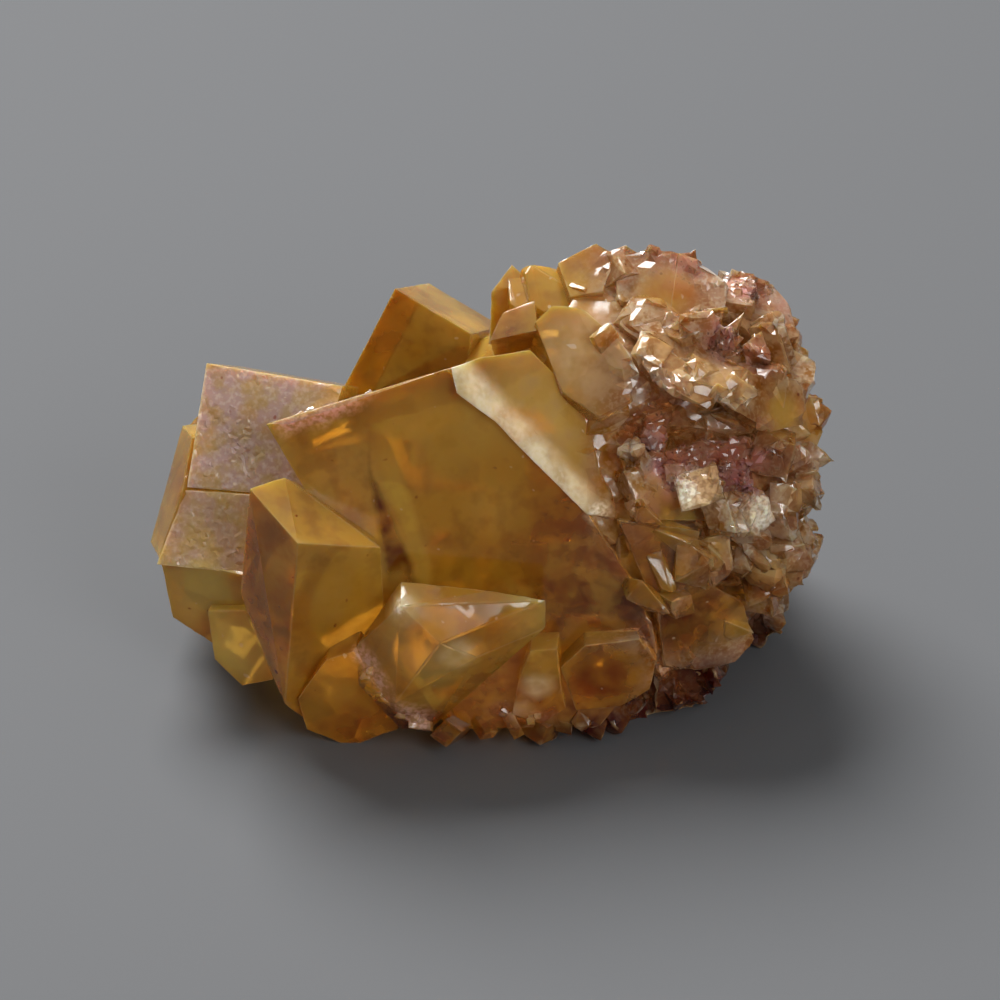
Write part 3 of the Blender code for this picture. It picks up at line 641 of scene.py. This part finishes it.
def shapedSurface(shape):
    net, triangles, facetOf, facets = dividedFaces(shape)
    points, push, wornAndShining, pit = [np.array(net[name]) for name in ("points", "push", "wornAndShining", "pit")]
    frosted, normals, tone = [np.array(values)[facetOf] for values in zip(*facets)]
    rough = druseShare(points)
    pointFrost = np.zeros(len(points))
    pointNormal = np.zeros((len(points), 3))
    for corner in range(3):
        np.maximum.at(pointFrost, triangles[:, corner], frosted)
        pointNormal[triangles[:, corner]] = normals

    swell = np.zeros((len(points), 3))
    for share, (high, long) in ((1 - rough, relief["smoothSwell"]), (rough, relief["roughSwell"])):
        waves = np.array([noiseVector(Vector(point) / long) for point in points])
        swell += waves * (share * high)[:, None]
    for index in np.flatnonzero(rough > relief["brokenFrom"]):
        swell[index] += pointNormal[index] * (rough[index] * brokenFacet(points[index]))
    granular = zoneStrength(points, pointNormal, tints["mauve"]["spots"]) * rough
    patches = [noise.noise(Vector(point) / relief["etchPatch"]) for point in points]
    patches = smoothRise(patches, -relief["etchBlur"], relief["etchBlur"])
    shallow = relief["etchShallow"]
    depth = relief["frostPit"] * pointFrost * (shallow + (1 - shallow) * patches)
    depth += relief["hollowPit"] * granular
    aboveBase = smoothRise(points[:, 2], *relief["keepFlat"])[:, None]
    moved = points + (push + swell + (depth * pit)[:, None] * pointNormal) * aboveBase

    mesh = bpy.data.meshes.new("fluorite")
    mesh.from_pydata((moved * mm).tolist(), [], triangles.tolist())
    mesh.update()
    middles = points[triangles].mean(1)
    crushed = np.array([noise.noise(Vector(middle) / relief["crushed"]) for middle in middles])
    crushed = (crushed > relief["crushedOver"]) & (rough[triangles].mean(1) > 0.5)
    glassy = (frosted < relief["dull"]) & (granular[triangles].mean(1) < 0.5) & ~crushed
    mesh.polygons.foreach_set("use_smooth", glassy)
    mesh.set_sharp_from_angle(angle=math.radians(relief["sharpEdge"]))

    corners = points[triangles.ravel()]
    cornerNormals = np.repeat(normals, 3, axis=0)
    fields = dict(
        frost=("FACE", frosted), tone=("FACE", spreadTone(tone, middles)),
        wornAndShining=("POINT", wornAndShining), druse=("POINT", rough),
        panes=("CORNER", zoneStrength(corners, cornerNormals, paneSpots)))
    for name, tint in tints.items():
        fields[name] = ("CORNER", zoneStrength(corners, cornerNormals, tint["spots"]))
    for name, (domain, values) in fields.items():
        mesh.attributes.new(name, "FLOAT", domain).data.foreach_set("value", np.asarray(values, np.float32))
    print("relief and colour zones laid on")
    return mesh


# natural fluorite. Each coat of colour lies over those before it: none of it, or its least,
# where its field is at low, and most of it where its field is at high
stone = dict(
    # mm across, and how much finer detail
    patterns=dict(clouds=(5.0, 0.0), mottle=(1.3, 2.0), grain=(0.28, 1.0), bits=(0.55, 0.0)),
    glassyColour="#d09c2e",
    glassy=[
        dict(colour="#e8be54", field="clouds", low=0.36, high=0.64),  # paler honey
        dict(colour="#8c4c14", field="mottle", low=0.46, high=0.64, most=0.3),  # brown mottling
    ],
    shatteredColour="#bc8848",
    shattered=[
        dict(colour="#f4e0c4", field="mottle", low=0.40, high=0.58),  # cream splinters
        dict(colour="#d0a094", field="clouds", low=0.48, high=0.60, most=0.6),  # a pink stain
        dict(colour="#fcf2dc", field="grain", low=0.50, high=0.64, most=0.55),  # white chips
        dict(colour="#94482c", field="grain", low=0.40, high=0.30, most=0.35),  # brown cracks
    ],
    etchedColour="#a8947c",
    etched=[
        dict(colour="#b0948c", field="mottle", low=0.42, high=0.58),
        dict(colour="#d0c2b8", field="grain", low=0.46, high=0.70, most=0.5),
    ],
    flecks=[
        dict(colour="#5a1a14", field="grain", low=0.64, high=0.76, where="mauve"),  # rusty grains
        dict(colour="#8c2c10", field="bits", low=0.18, high=0.12, most=0.7),  # rusty inclusions
        dict(colour="#f4e4c8", field="bits", low=0.82, high=0.87, most=0.7),  # white inclusions
        dict(colour="#f4e4bc", field="druse", least=0.2, most=0.5, where="wornAndShining"),  # rubbed edges, pale from rubbing and as a painted edge highlight
    ],
    darkTone="#c8ac8c",  # each small facet is darkened by a tone between these
    lightTone="#ffffff",
    # how the larger coats lie over the rest
    shatteredOver=dict(field="druse", most=0.85),
    etchedOver=dict(field="mottle", low=0.35, high=0.6, least=0.6, where="frost"),
    tones=dict(field="tone", low=0.15, high=0.85),
    tonesOver=dict(field="druse", least=0.2, blend="MULTIPLY"),
    tintOver=dict(low=0.36, high=0.62),
    paneOver=dict(field="mottle", low=0.36, high=0.6, where="pane"),
    shatteredCloud=0.15,  # how much the druse stops the light
    clearest=0.75,  # how much light the clearest stone lets through, and the cloudiest
    cloudiest=0.25,
    rough=0.12,  # on a glassy face
    etchedRough=0.12,  # what etching and rust add
    rustRough=0.08,
    absorbed="#f8dc68",  # what a thick piece still lets through
    absorption=55.0,
    sockets={
        "IOR": 1.434, "Specular IOR Level": 0.4,
        "Subsurface Weight": 0.5, "Subsurface Scale": 2 * mm, "Subsurface Radius": (1.0, 0.62, 0.25)},
)


def addNode(tree, kind, inputs, gives=0, **settings):
    # one shader node with its settings and links, which gives back one of its outputs.
    # An input is another node's output, a number, a vector or a hex colour
    node = tree.nodes.new("ShaderNode" + kind)
    for name, value in settings.items():
        setattr(node, name, value)
    for name, value in inputs.items():
        if isinstance(value, bpy.types.NodeSocket):
            tree.links.new(value, node.inputs[name])
        else:
            node.inputs[name].default_value = toLinear(value) if isinstance(value, str) else value
    return node.outputs[gives]


def bandShare(tree, place, pane):
    # 1 inside a growth band and 0 outside it, by how far a point is from the band's middle line
    across = addNode(tree, "SeparateXYZ", {"Vector": place}, "X")
    height = addNode(tree, "SeparateXYZ", {"Vector": place}, "Z")
    (startX, startZ), (endX, endZ) = pane["start"], pane["end"]
    startWidth, endWidth = pane["halfWidth"]
    run = {"Value": height, "From Min": startZ * mm, "From Max": endZ * mm}
    middle = addNode(tree, "MapRange", {**run, "To Min": startX * mm, "To Max": endX * mm})
    halfWidth = addNode(tree, "MapRange", {**run, "To Min": startWidth * mm, "To Max": endWidth * mm})
    aside = addNode(tree, "Math", {0: across, 1: middle}, operation="SUBTRACT")
    away = addNode(tree, "Math", {0: aside}, operation="ABSOLUTE")
    inside = addNode(tree, "Math", {0: halfWidth, 1: away}, operation="SUBTRACT")
    edge = {"From Min": pane["edge"][0] * mm, "From Max": pane["edge"][1] * mm}
    return addNode(tree, "MapRange", {"Value": inside, **edge})


def honeyFluorite():
    # natural fluorite: clear and glassy where a growth face is whole, dull where it is etched,
    # glittering where it is broken, and darker the deeper the light goes
    material = bpy.data.materials.new("honeyFluorite")
    material.use_nodes = True
    tree = material.node_tree
    shader = tree.nodes["Principled BSDF"]
    place = addNode(tree, "TexCoord", {}, "Object")
    fields = {}
    for name, (size, detail) in stone["patterns"].items():
        spread = {"Vector": place, "Scale": 1 / (size * mm), "Detail": detail}
        fields[name] = addNode(tree, "TexNoise", spread)
    for name in ("frost", "tone", "wornAndShining", "druse", "panes", *tints):
        fields[name] = addNode(tree, "Attribute", {}, "Fac", attribute_name=name)

    def coat(under, colour, field, low=0.0, high=1.0, least=0.0, most=1.0, where=None, blend="MIX"):
        # lays a colour over another, and gives both the outcome and how much of it shows
        limits = {"From Min": low, "From Max": high, "To Min": least, "To Max": most}
        share = addNode(tree, "MapRange", {"Value": fields[field], **limits})
        if where:
            share = addNode(tree, "Math", {0: share, 1: fields[where]}, operation="MULTIPLY")
        mixed = {0: share, 6: under, 7: colour}  # a Mix node takes its two colours at 6 and 7
        return addNode(tree, "Mix", mixed, 2, data_type="RGBA", blend_type=blend), share

    def coated(under, coats):
        for values in coats:
            under = coat(under, **values)[0]
        return under

    colour = coated(stone["glassyColour"], stone["glassy"])
    shattered = coated(stone["shatteredColour"], stone["shattered"])
    colour = coat(colour, shattered, **stone["shatteredOver"])[0]
    cloudy = addNode(tree, "Math", {0: fields["druse"], 1: stone["shatteredCloud"]}, operation="MULTIPLY")
    for name, tint in tints.items():
        spread = dict(field=tint["drawn"], least=1 - tint["patchy"], where=name, **stone["tintOver"])
        colour, share = coat(colour, tint["colour"], **spread)
        clouded = addNode(tree, "Math", {0: share, 1: tint["cloudy"]}, operation="MULTIPLY")
        cloudy = addNode(tree, "Math", {0: cloudy, 1: clouded}, operation="MAXIMUM")

    for pane in panes:
        share = bandShare(tree, place, pane)
        fields["pane"] = addNode(tree, "Math", {0: share, 1: fields["panes"]}, operation="MULTIPLY")
        spread = dict(least=pane["least"], most=pane["most"], **stone["paneOver"])
        colour = coat(colour, pane["colour"], **spread)[0]
    etched = coated(stone["etchedColour"], stone["etched"])
    colour, veil = coat(colour, etched, **stone["etchedOver"])
    cloudy = addNode(tree, "Math", {0: cloudy, 1: veil}, operation="MAXIMUM")
    colour = coated(colour, stone["flecks"])
    oddTone = coat(stone["darkTone"], stone["lightTone"], **stone["tones"])[0]
    colour = coat(colour, oddTone, **stone["tonesOver"])[0]
    tree.links.new(colour, shader.inputs["Base Color"])

    rustAndShade = {0: fields["rustAndShade"], 1: stone["rustRough"], 2: stone["rough"]}
    rusty = addNode(tree, "Math", rustAndShade, operation="MULTIPLY_ADD")
    frost = {0: fields["frost"], 1: stone["etchedRough"], 2: rusty}
    rough = addNode(tree, "Math", frost, operation="MULTIPLY_ADD")
    tree.links.new(rough, shader.inputs["Roughness"])
    clearness = {"Value": cloudy, "To Min": stone["clearest"], "To Max": stone["cloudiest"]}
    tree.links.new(addNode(tree, "MapRange", clearness), shader.inputs["Transmission Weight"])
    for name, value in stone["sockets"].items():
        shader.inputs[name].default_value = value
    depth = addNode(tree, "VolumeAbsorption", {"Color": stone["absorbed"], "Density": stone["absorption"]})
    tree.links.new(depth, tree.nodes["Material Output"].inputs["Volume"])
    print("fluorite material made")
    return material


def makeCluster():
    shape = weldedCopy(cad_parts["fluorite_cluster"])
    flatFaces(shape)
    shape = joinOn(shape, growSmallCrystals(shape))
    flatFaces(shape)
    dropLooseBits(shape)
    sortPoints(shape)
    mesh = shapedSurface(shape)
    shape.free()
    mesh.materials.append(honeyFluorite())
    cluster = addToScene("fluorite_crystals", mesh)
    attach(cluster, "root")
    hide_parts("fluorite_cluster")
    print("fluorite crystals placed")


ground = dict(half=3.0, below=0.02, colour="#414244", rough=0.8)  # half in metres, below in mm


def makeFloor():
    # matt paper: an even grey without shine
    half = ground["half"]
    mesh = bpy.data.meshes.new("floor")
    corners = [(-half, -half, 0), (half, -half, 0), (half, half, 0), (-half, half, 0)]
    mesh.from_pydata(corners, [], [(0, 1, 2, 3)])
    floor = addToScene("floor", mesh)
    floor.location.z = -ground["below"] * mm
    material = bpy.data.materials.new("mattPaper")
    material.use_nodes = True
    shader = material.node_tree.nodes["Principled BSDF"]
    shader.inputs["Base Color"].default_value = toLinear(ground["colour"])
    shader.inputs["Roughness"].default_value = ground["rough"]
    mesh.materials.append(material)
    print("floor laid")


# place and size in mm, power in watts
lamps = dict(
    windowLight=dict(place=(-180, 330, 510), size=400, power=10.6),
    frontFill=dict(place=(280, -420, 360), size=300, power=2.2),
)
lampAim = (0, 0, 10)
# a pale ceiling over darker walls: how high a direction points, and how bright it is there
room = dict(low=0.15, high=1.0, wall=0.06, ceiling=0.76)


def makeLights():
    for name, values in lamps.items():
        lamp = bpy.data.lights.new(name, "AREA")
        lamp.shape = "DISK"
        lamp.size = values["size"] * mm
        lamp.energy = values["power"]
        light = addToScene(name, lamp)
        light.location = Vector(values["place"]) * mm
        back = Vector(values["place"]) - Vector(lampAim)
        light.rotation_euler = back.to_track_quat("Z", "Y").to_euler()
        light.visible_transmission = False  # the glow inside is scattered light, not a lamp seen through it
    world = bpy.data.worlds.new("softRoom")
    bpy.context.scene.world = world
    world.use_nodes = True
    tree = world.node_tree
    way = addNode(tree, "TexCoord", {}, "Generated")
    height = addNode(tree, "SeparateXYZ", {"Vector": way}, "Z")
    upward = {"Value": height, "From Min": room["low"], "From Max": room["high"]}
    glow = addNode(tree, "MapRange", {**upward, "To Min": room["wall"], "To Max": room["ceiling"]})
    tree.links.new(glow, tree.nodes["Background"].inputs["Strength"])
    tree.nodes["Background"].inputs["Color"].default_value = toLinear("#ffffff")
    # so few and such soft lights need no guided sampling, and go quicker without it
    world.cycles.sampling_method = "NONE"
    bpy.context.scene.cycles.use_light_tree = False
    bpy.context.scene.view_settings.view_transform = "Standard"
    print("lights placed")


makeCamera()
makeCluster()
makeFloor()
makeLights()
